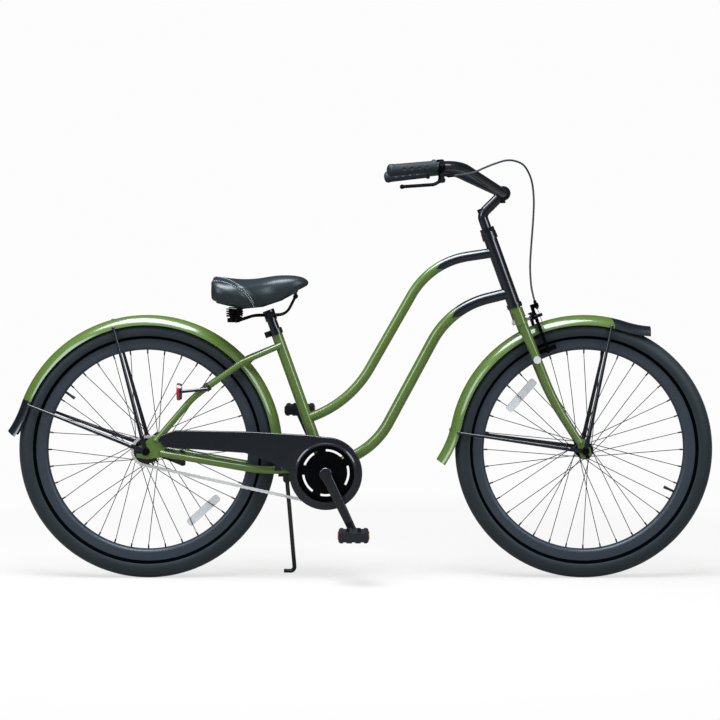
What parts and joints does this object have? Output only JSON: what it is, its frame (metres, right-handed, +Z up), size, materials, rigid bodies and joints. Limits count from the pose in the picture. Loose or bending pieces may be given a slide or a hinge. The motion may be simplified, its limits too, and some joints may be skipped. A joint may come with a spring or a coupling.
{
  "type": "beach cruiser bicycle",
  "caption": "Single-speed beach cruiser bicycle with a low curved double-tube frame, full fenders, chain guard, sprung saddle, swept handlebar and kickstand.",
  "frame": {"origin": "on the ground under the middle of the bicycle's bounding box", "axes": "+X forwards, +Y to the rider's left, +Z up"},
  "size_m": [1.8096, 0.68, 1.0685],
  "materials": {
    "green_paint": "gloss",
    "black_paint": "gloss",
    "bright_steel": "satin",
    "chain_steel": "satin",
    "black_alloy": "satin",
    "spoke_wire": "satin",
    "tyre_rubber": "matte",
    "tube_rubber": "matte",
    "grip_rubber": "matte",
    "cable_jacket": "satin",
    "pedal_plastic": "satin",
    "pan_plastic": "satin",
    "saddle_cover": "satin",
    "red_lens": "gloss",
    "clear_lens": "gloss"
  },
  "bodies": {
    "frame": {"head_tube": "black_paint", "upper_tube": "green_paint", "lower_tube": "green_paint", "seat_tube": "green_paint", "seat_stays": "green_paint", "chain_stays": "green_paint", "headset_cups": "black_paint", "bottom_bracket_cups": "bright_steel", "seat_clamp": "black_paint", "chain_guard": "black_paint", "rear_fender": "green_paint", "rear_fender_stays": "black_paint", "rear_axle": "bright_steel", "coaster_arm": "black_paint", "rear_reflector": "red_lens", "rear_reflector_bracket": "black_paint", "kickstand_bracket": "black_paint", "frame_fasteners": "bright_steel", "chain": "chain_steel"},
    "kickstand": {"kickstand_leg": "black_paint"},
    "crankset": {"chainring": "black_paint", "right_crank": "black_paint", "left_crank": "black_paint", "crank_axle": "bright_steel"},
    "right_pedal": {"right_pedal": "pedal_plastic"},
    "left_pedal": {"left_pedal": "pedal_plastic"},
    "sprocket": {"rear_sprocket": "chain_steel"},
    "rear_wheel": {"rear_tyre": "tyre_rubber", "rear_inner_tube": "tube_rubber", "rear_rim": "black_alloy", "rear_spokes": "spoke_wire", "rear_hub": "black_alloy", "rear_wheel_reflector": "clear_lens"},
    "steering": {"fork": "green_paint", "headset_locknut": "black_paint", "stem": "black_paint", "handlebar": "black_paint", "grips": "grip_rubber", "brake_lever_bracket": "black_alloy", "brake_cable": "cable_jacket", "front_fender": "green_paint", "front_fender_stays": "black_paint", "front_axle": "bright_steel", "steering_fasteners": "bright_steel"},
    "brake_lever": {"brake_lever": "black_alloy"},
    "caliper_arm_left": {"caliper_arm_left": "black_alloy"},
    "caliper_arm_right": {"caliper_arm_right": "black_alloy"},
    "front_wheel": {"front_tyre": "tyre_rubber", "front_inner_tube": "tube_rubber", "front_rim": "black_alloy", "front_spokes": "spoke_wire", "front_hub": "black_alloy", "front_wheel_reflector": "clear_lens"},
    "seat_post": {"seat_post": "black_paint", "saddle_clamp": "bright_steel", "saddle_rails": "chain_steel", "saddle_springs": "chain_steel"},
    "saddle": {"saddle_pan": "pan_plastic", "saddle_cover": "saddle_cover"}
  },
  "joints": [
    {"name": "steering", "type": "hinge", "parent": "frame", "child": "steering", "pos_m": [0.36492, 0, 0.78569], "axis": [-0.342, 0, 0.9397], "range_deg": [-70, 70]},
    {"name": "front_wheel_spin", "type": "hinge", "parent": "steering", "child": "front_wheel", "pos_m": [0.57483, 0, 0.33], "axis": [0, 1, 0], "continuous": true},
    {"name": "rear_wheel_spin", "type": "hinge", "parent": "frame", "child": "rear_wheel", "pos_m": [-0.54517, 0, 0.33], "axis": [0, 1, 0], "continuous": true},
    {"name": "crank_spin", "type": "hinge", "parent": "frame", "child": "crankset", "pos_m": [-0.08722, 0, 0.274], "axis": [0, 1, 0], "continuous": true, "deforming": ["chain"]},
    {"name": "sprocket_spin", "type": "hinge", "parent": "frame", "child": "sprocket", "pos_m": [-0.54517, 0, 0.33], "axis": [0, 1, 0], "continuous": true, "deforming": ["chain"]},
    {"name": "right_pedal_spin", "type": "hinge", "parent": "crankset", "child": "right_pedal", "pos_m": [-0.01619, -0.092, 0.12507], "axis": [0, 1, 0], "continuous": true},
    {"name": "left_pedal_spin", "type": "hinge", "parent": "crankset", "child": "left_pedal", "pos_m": [-0.15826, 0.092, 0.42293], "axis": [0, 1, 0], "continuous": true},
    {"name": "kickstand_fold", "type": "hinge", "parent": "frame", "child": "kickstand", "pos_m": [-0.18923, 0.034, 0.25], "axis": [0, 1, 0], "range_deg": [0, 85]},
    {"name": "brake_lever_pull", "type": "hinge", "parent": "steering", "child": "brake_lever", "pos_m": [0.19889, -0.28026, 1.01429], "axis": [-0.3395, 0.9406, 0], "range_deg": [0, 10], "stiffness_Nm_per_rad": 4, "springref_deg": -3.44},
    {"name": "caliper_right", "type": "hinge", "parent": "steering", "child": "caliper_arm_right", "pos_m": [0.44323, 0, 0.67372], "axis": [0.9397, 0, 0.342], "range_deg": [0, 1.3]},
    {"name": "caliper_left", "type": "hinge", "parent": "steering", "child": "caliper_arm_left", "pos_m": [0.43543, 0, 0.67088], "axis": [-0.9397, 0, -0.342], "range_deg": [0, 1.3]},
    {"name": "seat_post_slide", "type": "slide", "parent": "frame", "child": "seat_post", "axis": [-0.3371, 0, 0.9415], "range_m": [-0.008, 0.08]},
    {"name": "saddle_spring", "type": "hinge", "parent": "seat_post", "child": "saddle", "pos_m": [-0.16516, 0, 0.7239], "axis": [0, -1, 0], "range_deg": [0, 2.5], "stiffness_Nm_per_rad": 1500, "springref_deg": -0.17, "deforming": ["saddle_springs"]}
  ],
  "couplings": [
    {"joint": "sprocket_spin", "follows": "crank_spin", "ratio": 2.2222},
    {"joint": "caliper_right", "follows": "brake_lever_pull", "ratio": 0.13},
    {"joint": "caliper_left", "follows": "brake_lever_pull", "ratio": 0.13}
  ]
}
